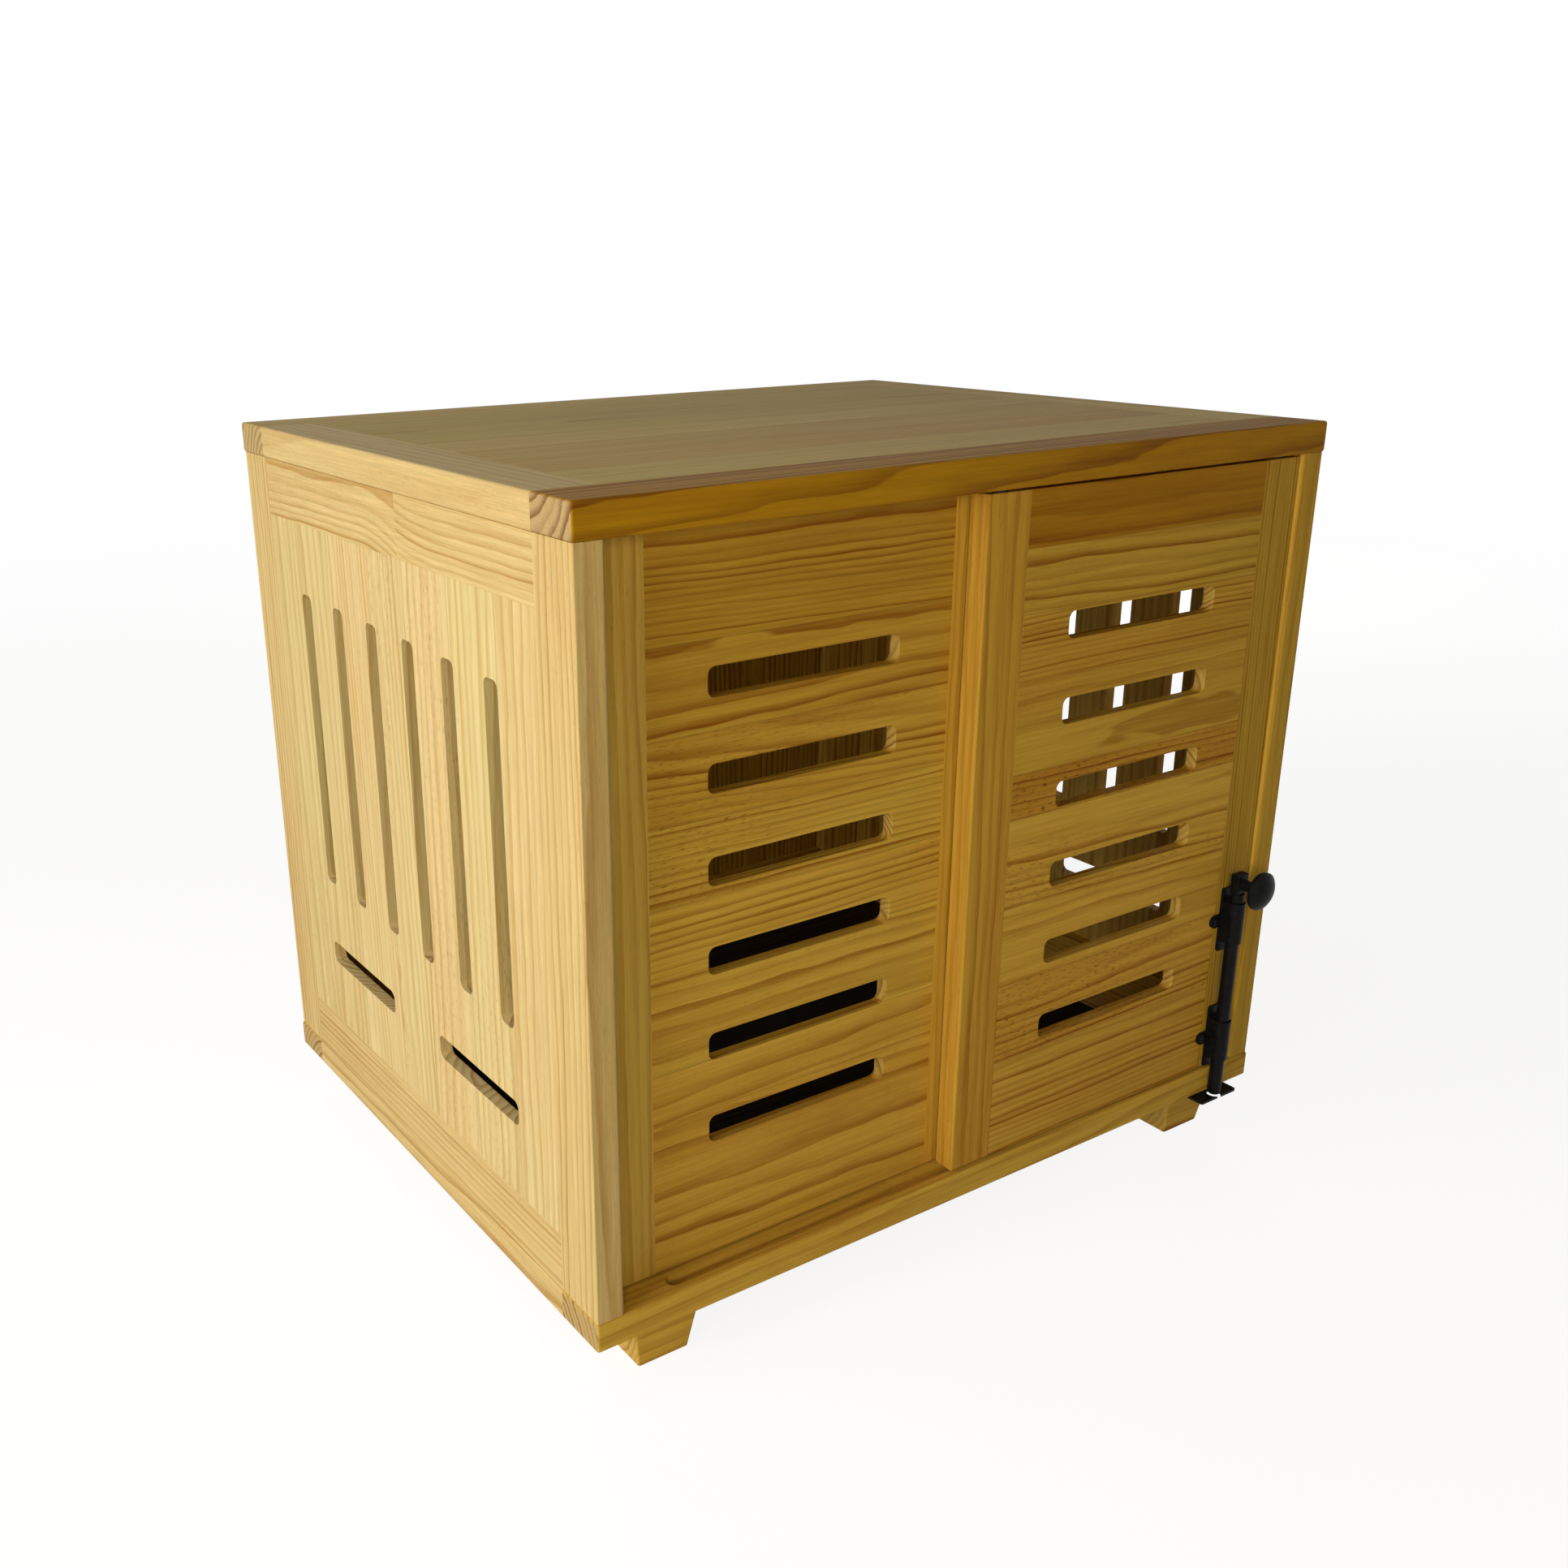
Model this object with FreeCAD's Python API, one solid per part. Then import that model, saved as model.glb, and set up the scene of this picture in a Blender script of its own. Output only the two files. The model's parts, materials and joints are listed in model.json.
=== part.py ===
import FreeCAD, Part
import os

# Dog crate end table in solid pine, with two sliding doors and a black barrel bolt.
# Millimetres, +Z up. X runs across the front, the front faces -Y, and z = 0 is the floor.
# The origin is the middle of the outer box, seen from above, with the bolt's knob in it.

V = FreeCAD.Vector

# ---- overall -----------------------------------------------------------------------------
width = 600.0
depth = 480.0
height = 542.0
overhang = 1.0              # top and base stand this far past the posts

# ---- top, base and feet ------------------------------------------------------------------
top_thickness = 21.0
base_thickness = 20.0
flat_rail_width = 42.0      # rails and stiles of the top and of the base
arris_radius = 2.0          # eased outer edges of the top and the base
overshoot = 1.0             # every cutter runs this far past what it cuts
full_round_slack = 0.05     # kept off the radius of an end that is round all the way
foot_height = 35.0
foot_top = 48.0
foot_bottom = 37.0
foot_from_side = 31.5       # table edge to the foot's top edge, at the sides
foot_from_front = 8.5       # the same at front and back
foot_arris = 1.5

# ---- upright frames ----------------------------------------------------------------------
side_thickness = 19.5
post_width = 42.0
side_rail_height = 40.0
back_thickness = 20.0
post_inner_radius = 3.0     # the post's rounded edge at the doorway
post_outer_radius = 1.0

# ---- infill panels -----------------------------------------------------------------------
panel_thickness = 9.0
tongue_thickness = 4.0
tongue_length = 6.0
tongue_play = 0.1           # groove wider than the tongue, each face
tongue_end_gap = 0.5        # left at the bottom of the groove

# ---- slots in the side panels ------------------------------------------------------------
side_slot_width = 16.8
side_slot_length = 218.0
side_slot_pitch = 56.2
side_slot_count = 6
side_slot_top_gap = 50.0    # top rail to the slots
low_slot_gap = 50.5         # the upright slots to the level pair below them
low_slot_middle_gap = 74.0  # between the two level slots
side_slot_radius = 5.0

# ---- doors -------------------------------------------------------------------------------
door_thickness = 16.5
door_stile_width = 35.0
door_setback = 4.0          # table front to the front door's face
door_gap = 1.5              # between the two doors
door_overlap = 26.0
door_side_gap = 0.3         # closed door to its post
door_bottom_gap = 1.5
door_top_gap = 2.0
door_edge_radius = 1.5
door_slot_length = 140.0
door_slot_height = 18.0
door_slot_pitch = 57.0
door_slot_count = 6
door_slot_radius = 5.0

# ---- tracks, wheels and top guides -------------------------------------------------------
track_width = 11.0
track_depth = 7.0
track_start = 57.5          # table's side to the open end of each track
top_track_width = 9.0
top_track_depth = 8.0
wheel_radius = 9.0
wheel_width = 5.0
wheel_tread_radius = 1.0
wheel_lift = 0.3            # wheel to the bottom of the track
wheel_inset = 15.0          # door edge to the wheel's middle
wheel_stop = 1.0            # rim to the track's end, at the end of the travel
axle_radius = 1.5
axle_play = 0.05
housing_length = 22.0
housing_width = 9.6
housing_height = 14.0
housing_corner = 1.5
housing_lug_radius = 3.6
wheel_side_gap = 0.3
wheel_top_gap = 1.0
guide_pin_radius = 4.0
guide_pin_engagement = 6.0  # how far the pin stands in the upper track
guide_pin_depth = 16.0      # how far it sits in the stile
guide_pin_chamfer = 0.8
guide_collar_radius = 6.0
guide_collar_thickness = 1.2
guide_collar_recess = 0.2

# ---- dowels and screws -------------------------------------------------------------------
dowel_radius = 3.0
dowel_length = 24.0
dowel_play = 0.05
dowel_end_gap = 0.5
dowel_first = 10.5          # rail's outer edge to the first dowel
dowel_spacing = 15.0
corner_fixing_inset = 14.0  # post's outer edge to the upright dowel or screw in its end
screw_play = 0.05
screw_point_length = 1.5    # as a share of the screw's radius
screw_point_end = 0.2       # the same
recess_radius_share = 0.35  # of the head's radius
recess_depth_share = 0.6    # of the head's height
carcass_screw_length = 50.0
carcass_screw_radius = 2.2
carcass_head_radius = 4.4
foot_screw_length = 44.0
foot_screw_spacing = 18.0
foot_screw_offset = 6.5     # from the foot's middle towards the table's edge
foot_screw_recess = 0.5     # the heads stay clear of the floor
back_dowel_heights = (85.0, 380.0)   # above the base

# ---- barrel bolt on the front door -------------------------------------------------------
rod_radius = 5.0
rod_play = 0.08
rod_from_edge = 23.7        # door's free edge to the rod's middle
rod_stand_off = 9.6         # door's face to the rod's middle
rod_tip_chamfer = 1.0
locked_reach = 6.5          # how far the locked rod passes below the base
rest_lift = 7.0             # the rod is modelled lifted this far, just clear of the strike
guide_width = 13.0
guide_height = 51.0
guide_plate = 2.0
guide_corner = 1.5
saddle_height = 32.5
saddle_wall = 1.5
saddle_mouth = 0.9          # chamfer of the bore at each end
ear_reach = 17.0            # rod's middle to the tip of a screw ear
ear_height = 10.0
ear_screw_offset = 12.0
upper_guide_base = 98.2     # door's bottom edge to the upper guide
lower_guide_base = 0.4      # door's bottom edge to the lower guide
guide_screw_radius = 1.6
guide_screw_length = 12.0
guide_screw_head = 3.6
guide_screw_rise = 2.2
guide_screw_dome = 4.5      # radius of the domed head
cross_arm = 2.0             # the cross recess, from its middle
cross_half_width = 0.4
cross_depth = 1.0
dog_width = 11.0
dog_depth = 8.0
dog_height = 15.5
dog_edge_radius = 1.5
dog_seat_gap = 0.3          # locked dog to the top of the upper saddle
spigot_radius = 2.5
spigot_depth = 11.0         # how deep its bore runs into the dog
spigot_end_gap = 0.3
knob_radius = 14.5
knob_rim = 2.2
knob_under_edge = 1.25      # the rim stands this far past the cone under it
knob_dome = 5.5
knob_flare = 2.5            # length of the cone between the stem and the rim
stem_length = 14.0
stem_radius_at_dog = 4.4
stem_radius_at_knob = 3.2
stem_tenon_radius = 1.6
stem_tenon_length = 1.2
tenon_end_gap = 0.1
strike_width = 40.0
strike_thickness = 2.0
strike_reach = 10.8         # how far the strike stands in front of the base
strike_seat = 7.5           # how far it runs back under the base
strike_hole_play = 0.5
strike_corner_radius = 2.0
strike_screw_spacing = 30.0
strike_screw_inset = 4.0
strike_screw_length = 10.0
strike_screw_radius = 1.3
strike_head_radius = 2.4

# ---- places worked out from the sizes above ----------------------------------------------
knob_reach = (rod_stand_off + dog_depth / 2 + stem_length + knob_rim + knob_dome
              - door_setback)
left = -width / 2
right = width / 2
front = (knob_reach - depth) / 2
back = front + depth
base_bottom = foot_height
base_top = base_bottom + base_thickness
top_bottom = height - top_thickness
post_front = front + overhang
post_back = back - overhang
side_outer = left + overhang
side_inner = side_outer + side_thickness
panel_front = post_front + post_width
panel_back = post_back - post_width
door_bottom = base_top + door_bottom_gap
door_top = top_bottom - door_top_gap
doorway = -2 * side_inner
door_width = (doorway - 2 * door_side_gap + door_overlap) / 2
front_door_face = front + door_setback
rear_door_face = front_door_face + door_thickness + door_gap
rear_door_left = side_inner + door_side_gap
front_door_left = -rear_door_left - door_width
track_floor = base_top - track_depth
wheel_axis_z = track_floor + wheel_lift + wheel_radius
door_travel = front_door_left + wheel_inset - (left + track_start + wheel_stop + wheel_radius)
rod_x = -rear_door_left - rod_from_edge
rod_y = front_door_face - rod_stand_off

parts = {}


# ---- small shape helpers -----------------------------------------------------------------
def block(x0, y0, z0, x1, y1, z1):
    """A box from its lowest to its highest corner."""
    return Part.makeBox(x1 - x0, y1 - y0, z1 - z0, V(x0, y0, z0))


def rod(start, direction, radius, length):
    """A round bar from a start point along a direction."""
    return Part.makeCylinder(radius, length, V(*start), V(*direction))


def group(solids):
    """Several solids kept apart in one shape."""
    return Part.makeCompound(list(solids))


def mirrored(shape):
    """The same shape on the other side of the middle plane x = 0."""
    return shape.mirror(V(0, 0, 0), V(1, 0, 0))


def edges_along(shape, direction, places=None):
    """Straight edges along a direction, all of them or those that pass near given points."""
    found = []
    for edge in shape.Edges:
        ends = [vertex.Point for vertex in edge.Vertexes]
        if len(ends) != 2:
            continue
        run = ends[1] - ends[0]
        if run.Length < 1e-6 or run.cross(V(*direction)).Length > 1e-6 * run.Length:
            continue
        middle = (ends[0] + ends[1]) * 0.5
        across = [i for i in range(3) if abs(direction[i]) < 0.5]
        near = places is None or any(
            all(abs(middle[i] - place[i]) < 0.01 for i in across) for place in places)
        if near:
            found.append(edge)
    return found


def edges_at_height(shape, z):
    """The edges that lie level at a height."""
    return [edge for edge in shape.Edges
            if abs(edge.BoundBox.ZMin - z) < 0.01 and abs(edge.BoundBox.ZMax - z) < 0.01]


def rounded_block(corners, direction, radius):
    """A box whose four edges along one direction are rounded."""
    solid = block(*corners)
    return solid.makeFillet(radius, edges_along(solid, direction))


def tongued_panel(corners, normal, edges):
    """An infill panel with a tongue round the named in-plane axes.

    corners is the visible board, normal the index of its thickness axis. The tongue lies
    midway through the board. Returns the panel and the cutter for the grooves around it.
    """
    low = list(corners[:3])
    high = list(corners[3:])
    middle = (low[normal] + high[normal]) / 2
    tongue_low, tongue_high = low[:], high[:]
    groove_low, groove_high = low[:], high[:]
    tongue_low[normal] = middle - tongue_thickness / 2
    tongue_high[normal] = middle + tongue_thickness / 2
    groove_low[normal] = tongue_low[normal] - tongue_play
    groove_high[normal] = tongue_high[normal] + tongue_play
    for axis in edges:
        tongue_low[axis] -= tongue_length
        tongue_high[axis] += tongue_length
        groove_low[axis] -= tongue_length + tongue_end_gap
        groove_high[axis] += tongue_length + tongue_end_gap
    panel = block(*low, *high).fuse(block(*tongue_low, *tongue_high)).removeSplitter()
    return panel, block(*groove_low, *groove_high)


def dowel(joint, direction):
    """A dowel across a joint, and the hole it sits in. joint is the point on the joint."""
    step = V(*direction)
    pin = rod(V(*joint) - step * (dowel_length / 2), step, dowel_radius, dowel_length)
    reach = dowel_length / 2 + dowel_end_gap
    hole = rod(V(*joint) - step * reach, step, dowel_radius + dowel_play, 2 * reach)
    return pin, hole


def countersunk_screw(head_point, direction, length, radius, head_radius):
    """A countersunk screw driven from head_point along direction, and the hole it needs."""
    step = V(*direction)
    start = V(*head_point)
    head_height = head_radius - radius
    tip = radius * screw_point_length
    shank_length = length - head_height - tip
    cone = Part.makeCone(head_radius, radius, head_height, start, step)
    shank = rod(start + step * head_height, step, radius, shank_length)
    point = Part.makeCone(radius, radius * screw_point_end, tip,
                          start + step * (length - tip), step)
    recess = rod(start, step, head_radius * recess_radius_share,
                 head_height * recess_depth_share)
    screw = cone.fuse([shank, point]).removeSplitter().cut(recess)
    hole = Part.makeCone(head_radius + screw_play, radius + screw_play, head_height, start, step)
    hole = hole.fuse(rod(start + step * head_height, step, radius + screw_play,
                         length - head_height + dowel_end_gap))
    return screw, hole


# ---- tracks cut in the base and in the top -----------------------------------------------
def track(first_x, last_x, middle_y, low_z, high_z, track_size):
    """A round-ended groove between two x positions."""
    half = track_size / 2
    return rounded_block((first_x, middle_y - half, low_z, last_x, middle_y + half, high_z),
                         (0, 0, 1), half - full_round_slack)


def door_tracks(rim, size, low_z, high_z):
    """Both doors' grooves. rim is the radius of what runs in them."""
    closed_end = front_door_left + door_width - wheel_inset + rim + wheel_stop
    open_end = front_door_left + wheel_inset - door_travel - rim - wheel_stop
    front_middle = front_door_face + door_thickness / 2
    rear_middle = rear_door_face + door_thickness / 2
    return [track(open_end, closed_end, front_middle, low_z, high_z, size),
            track(-closed_end, -open_end, rear_middle, low_z, high_z, size)]


# ---- top and base: flat frames with a flush panel ----------------------------------------
def flat_frame(low_z, high_z, dowel_z):
    """Front and back rails run the whole width, with side rails and a panel between."""
    body = block(left, front, low_z, right, back, high_z)
    body = body.makeFillet(arris_radius, body.Edges)
    inner_front, inner_back = front + flat_rail_width, back - flat_rail_width
    inner_left = left + flat_rail_width
    pieces = {
        "front": body.common(block(left, front, low_z, right, inner_front, high_z)),
        "back": body.common(block(left, inner_back, low_z, right, back, high_z)),
        "left": body.common(block(left, inner_front, low_z, inner_left, inner_back, high_z)),
    }
    panel, grooves = tongued_panel(
        (inner_left, inner_front, high_z - panel_thickness, -inner_left, inner_back, high_z),
        2, (0, 1))
    pins = []
    for joint_y in (inner_front, inner_back):
        for step in (0, 1):
            place = (left + dowel_first + step * dowel_spacing, joint_y, dowel_z)
            pin, hole = dowel(place, (0, 1, 0))
            pins += [pin, mirrored(pin)]
            rail = "front" if joint_y == inner_front else "back"
            pieces[rail] = pieces[rail].cut([hole, mirrored(hole)])
            pieces["left"] = pieces["left"].cut(hole)
    for name in pieces:
        pieces[name] = pieces[name].cut(grooves)
    pieces["right"] = mirrored(pieces["left"])
    pieces["panel"] = panel
    return pieces, pins


# ---- side: two posts, two rails and a slotted panel --------------------------------------
def side_slots():
    """Cutters for the six upright slots and the two level ones below them."""
    cutters = []
    middle_y = (panel_front + panel_back) / 2
    upper_top = top_bottom - side_rail_height - side_slot_top_gap
    upper_low = upper_top - side_slot_length
    first_x, last_x = side_outer - overshoot, side_inner + overshoot
    for index in range(side_slot_count):
        slot_y = middle_y + (index - (side_slot_count - 1) / 2) * side_slot_pitch
        cutters.append(rounded_block(
            (first_x, slot_y - side_slot_width / 2, upper_low,
             last_x, slot_y + side_slot_width / 2, upper_top), (1, 0, 0), side_slot_radius))
    half_run = ((side_slot_count - 1) * side_slot_pitch + side_slot_width) / 2
    low_top = upper_low - low_slot_gap
    for sign in (-1, 1):
        ends = sorted((middle_y + sign * low_slot_middle_gap / 2, middle_y + sign * half_run))
        cutters.append(rounded_block(
            (first_x, ends[0], low_top - side_slot_width, last_x, ends[1], low_top),
            (1, 0, 0), side_slot_radius))
    return cutters


def side_frame():
    """The left side. The right side is its mirror image."""
    front_post = block(side_outer, post_front, base_top, side_inner, panel_front, top_bottom)
    front_post = front_post.makeFillet(
        post_inner_radius, edges_along(front_post, (0, 0, 1), [(side_inner, post_front, 0)]))
    front_post = front_post.makeFillet(
        post_outer_radius, edges_along(front_post, (0, 0, 1), [(side_outer, post_front, 0)]))
    back_post = block(side_outer, panel_back, base_top, side_inner, post_back, top_bottom)
    back_post = back_post.makeFillet(
        post_outer_radius, edges_along(back_post, (0, 0, 1), [(side_outer, post_back, 0)]))
    rail_top = top_bottom - side_rail_height
    rail_low = base_top + side_rail_height
    top_rail = block(side_outer, panel_front, rail_top, side_inner, panel_back, top_bottom)
    low_rail = block(side_outer, panel_front, base_top, side_inner, panel_back, rail_low)
    panel, grooves = tongued_panel(
        (side_outer, panel_front, rail_low, side_outer + panel_thickness, panel_back, rail_top),
        0, (1, 2))
    panel = panel.cut(side_slots())
    pins, holes = [], []
    middle_x = (side_outer + side_inner) / 2
    for joint_y in (panel_front, panel_back):
        for edge_z, sign in ((top_bottom, -1), (base_top, 1)):
            for step in (0, 1):
                place_z = edge_z + sign * (dowel_first + step * dowel_spacing)
                pin, hole = dowel((middle_x, joint_y, place_z), (0, 1, 0))
                pins.append(pin)
                holes.append(hole)
    tools = holes + [grooves]
    return {"front_post": front_post.cut(tools), "back_post": back_post.cut(tools),
            "top_rail": top_rail.cut(tools), "bottom_rail": low_rail.cut(tools),
            "panel": panel}, pins


# ---- back: a closed frame and panel between the back posts -------------------------------
def back_frame():
    """Two stiles, two rails and a panel without slots, flush with the posts behind."""
    low_y, high_y = post_back - back_thickness, post_back
    stile_inner = side_inner + post_width
    rail_top = top_bottom - side_rail_height
    rail_low = base_top + side_rail_height
    stile = block(side_inner, low_y, base_top, stile_inner, high_y, top_bottom)
    top_rail = block(stile_inner, low_y, rail_top, -stile_inner, high_y, top_bottom)
    low_rail = block(stile_inner, low_y, base_top, -stile_inner, high_y, rail_low)
    panel, grooves = tongued_panel(
        (stile_inner, high_y - panel_thickness, rail_low, -stile_inner, high_y, rail_top),
        1, (0, 2))
    pins, holes = [], []
    middle_y = (low_y + high_y) / 2
    for edge_z, sign in ((top_bottom, -1), (base_top, 1)):
        for step in (0, 1):
            place_z = edge_z + sign * (dowel_first + step * dowel_spacing)
            pin, hole = dowel((stile_inner, middle_y, place_z), (1, 0, 0))
            pins += [pin, mirrored(pin)]
            holes += [hole, mirrored(hole)]
    tools = holes + [grooves]
    stile = stile.cut(tools)
    return {"left_stile": stile, "right_stile": mirrored(stile),
            "top_rail": top_rail.cut(tools), "bottom_rail": low_rail.cut(tools),
            "panel": panel}, pins


# ---- feet --------------------------------------------------------------------------------
def foot_blank():
    """A block that narrows towards the floor, at the front left corner."""
    middle_x = left + foot_from_side + foot_top / 2
    middle_y = front + foot_from_front + foot_top / 2
    low, high = foot_bottom / 2, foot_top / 2
    foot = Part.makeWedge(-low, 0, -low, -high, -high, low, foot_height, low, high, high)
    foot.rotate(V(0, 0, 0), V(1, 0, 0), 90)
    foot.translate(V(middle_x, middle_y, 0))
    slanted = [edge for edge in foot.Edges
               if abs(edge.Vertexes[0].Z - edge.Vertexes[1].Z) > foot_height / 2]
    return foot.makeFillet(foot_arris, slanted), middle_x, middle_y


def to_corner(shape, side, end):
    """Move a front left shape to another corner by mirroring it."""
    if side == "right":
        shape = mirrored(shape)
    if end == "back":
        shape = shape.mirror(V(0, (front + back) / 2, 0), V(0, 1, 0))
    return shape


# ---- doors -------------------------------------------------------------------------------
def roller_housing(middle_x, middle_y):
    """A moulded cup let into the door's bottom edge, with two lugs for the axle."""
    half_length, half_width = housing_length / 2, housing_width / 2
    cup = rounded_block((middle_x - half_length, middle_y - half_width, door_bottom,
                         middle_x + half_length, middle_y + half_width,
                         door_bottom + housing_height), (0, 0, 1), housing_corner)
    lug = rod((middle_x, middle_y - half_width, wheel_axis_z), (0, 1, 0),
              housing_lug_radius, housing_width)
    slot_half = wheel_width / 2 + wheel_side_gap
    reach = wheel_radius + wheel_top_gap
    slot = block(middle_x - reach, middle_y - slot_half, wheel_axis_z - reach,
                 middle_x + reach, middle_y + slot_half, wheel_axis_z + reach)
    bore = rod((middle_x, middle_y - half_width - overshoot, wheel_axis_z), (0, 1, 0),
               axle_radius + axle_play, housing_width + 2 * overshoot)
    return cup.fuse(lug).removeSplitter().cut([slot, bore])


def wheel(middle_x, middle_y):
    """A nylon wheel with a rounded tread and a bore for its axle."""
    half = wheel_width / 2
    disc = rod((middle_x, middle_y - half, wheel_axis_z), (0, 1, 0), wheel_radius, wheel_width)
    rims = [edge for edge in disc.Edges if edge.Closed and len(edge.Vertexes) == 1]
    disc = disc.makeFillet(wheel_tread_radius, rims)
    bore = rod((middle_x, middle_y - half - overshoot, wheel_axis_z), (0, 1, 0),
               axle_radius + axle_play, wheel_width + 2 * overshoot)
    return disc.cut(bore)


def guide_pin(middle_x, middle_y):
    """A nylon peg with a collar, in the door's top edge. It runs in the upper track."""
    peg = rod((middle_x, middle_y, door_top - guide_pin_depth), (0, 0, 1), guide_pin_radius,
              guide_pin_depth + door_top_gap + guide_pin_engagement)
    peg = peg.makeChamfer(guide_pin_chamfer,
                          edges_at_height(peg, top_bottom + guide_pin_engagement))
    collar = rod((middle_x, middle_y, door_top - guide_collar_thickness + guide_collar_recess),
                 (0, 0, 1), guide_collar_radius, guide_collar_thickness)
    return peg.fuse(collar).removeSplitter()


def door(name, left_edge, face):
    """A door: two stiles, a slotted panel between them, two wheels below, two pegs above."""
    rear = face + door_thickness
    right_edge = left_edge + door_width
    panel_left, panel_right = left_edge + door_stile_width, right_edge - door_stile_width
    panel, grooves = tongued_panel(
        (panel_left, face, door_bottom, panel_right, face + panel_thickness, door_top),
        1, (0,))
    middle_x, middle_y = (left_edge + right_edge) / 2, (face + rear) / 2
    middle_z = (door_bottom + door_top) / 2
    for index in range(door_slot_count):
        slot_z = middle_z + (index - (door_slot_count - 1) / 2) * door_slot_pitch
        panel = panel.cut(rounded_block(
            (middle_x - door_slot_length / 2, face - overshoot, slot_z - door_slot_height / 2,
             middle_x + door_slot_length / 2, rear + overshoot,
             slot_z + door_slot_height / 2),
            (0, 1, 0), door_slot_radius))
    housings, axles, pins = [], [], []
    for side, low_x, high_x, wheel_x in (
            ("left", left_edge, panel_left, left_edge + wheel_inset),
            ("right", panel_right, right_edge, right_edge - wheel_inset)):
        stile = block(low_x, face, door_bottom, high_x, rear, door_top)
        free_x = low_x if side == "left" else high_x
        free_edges = edges_along(stile, (0, 0, 1), [(free_x, face, 0), (free_x, rear, 0)])
        stile = stile.makeFillet(door_edge_radius, free_edges)
        pocket = rounded_block(
            (wheel_x - housing_length / 2, middle_y - housing_width / 2,
             door_bottom - overshoot,
             wheel_x + housing_length / 2, middle_y + housing_width / 2,
             door_bottom + housing_height), (0, 0, 1), housing_corner)
        peg = guide_pin(wheel_x, middle_y)
        peg_hole = rod((wheel_x, middle_y, door_top - guide_pin_depth - dowel_end_gap),
                       (0, 0, 1), guide_pin_radius + dowel_play,
                       guide_pin_depth + dowel_end_gap + overshoot)
        collar_seat = rod((wheel_x, middle_y,
                           door_top - guide_collar_thickness + guide_collar_recess),
                          (0, 0, 1), guide_collar_radius + dowel_play, guide_collar_thickness)
        parts[f"{name}_{side}_stile"] = stile.cut([grooves, pocket, peg_hole, collar_seat])
        parts[f"{name}_{side}_wheel"] = wheel(wheel_x, middle_y)
        housings.append(roller_housing(wheel_x, middle_y))
        axles.append(rod((wheel_x, middle_y - housing_width / 2, wheel_axis_z), (0, 1, 0),
                         axle_radius, housing_width))
        pins.append(peg)
    parts[f"{name}_panel"] = panel
    parts[f"{name}_roller_housings"] = group(housings)
    parts[f"{name}_wheel_axles"] = group(axles)
    parts[f"{name}_guide_pins"] = group(pins)


# ---- barrel bolt -------------------------------------------------------------------------
def bolt_guide(low_z):
    """A cast guide: a back plate with two screw ears, and a saddle bored for the rod."""
    face = front_door_face
    plate_face = face - guide_plate
    high_z = low_z + guide_height
    middle_z = (low_z + high_z) / 2
    plate = rounded_block((rod_x - guide_width / 2, plate_face, low_z,
                           rod_x + guide_width / 2, face, high_z), (0, 1, 0), guide_corner)
    ears = rounded_block((rod_x - ear_reach, plate_face, middle_z - ear_height / 2,
                          rod_x + ear_reach, face, middle_z + ear_height / 2),
                         (0, 1, 0), ear_height / 2 - full_round_slack)
    outer = rod_radius + saddle_wall
    saddle_low = middle_z - saddle_height / 2
    saddle = rod((rod_x, rod_y, saddle_low), (0, 0, 1), outer, saddle_height)
    web = block(rod_x - outer, rod_y, saddle_low, rod_x + outer, plate_face,
                saddle_low + saddle_height)
    bore = rod((rod_x, rod_y, saddle_low - overshoot), (0, 0, 1), rod_radius + rod_play,
               saddle_height + 2 * overshoot)
    wide = rod_radius + rod_play + saddle_mouth
    mouths = [Part.makeCone(wide, rod_radius, wide - rod_radius, V(rod_x, rod_y, saddle_low),
                            V(0, 0, 1)),
              Part.makeCone(wide, rod_radius, wide - rod_radius,
                            V(rod_x, rod_y, saddle_low + saddle_height), V(0, 0, -1))]
    return plate.fuse([ears, saddle, web]).removeSplitter().cut([bore] + mouths), middle_z


def pan_screw(place_x, place_z):
    """A pan-head screw through a guide's ear into the door, and its hole."""
    seat = front_door_face - guide_plate
    crown = seat - guide_screw_rise
    dome = Part.makeSphere(guide_screw_dome, V(place_x, crown + guide_screw_dome, place_z))
    head = rod((place_x, seat, place_z), (0, -1, 0), guide_screw_head, guide_screw_rise)
    head = head.common(dome)
    shank = rod((place_x, seat, place_z), (0, 1, 0), guide_screw_radius, guide_screw_length)
    recess_floor = crown + cross_depth
    cross = [block(place_x - cross_arm, crown - overshoot, place_z - cross_half_width,
                   place_x + cross_arm, recess_floor, place_z + cross_half_width),
             block(place_x - cross_half_width, crown - overshoot, place_z - cross_arm,
                   place_x + cross_half_width, recess_floor, place_z + cross_arm)]
    hole = rod((place_x, seat - overshoot, place_z), (0, 1, 0),
               guide_screw_radius + screw_play,
               guide_screw_length + overshoot + dowel_end_gap)
    return head.fuse(shank).removeSplitter().cut(cross), hole


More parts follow.
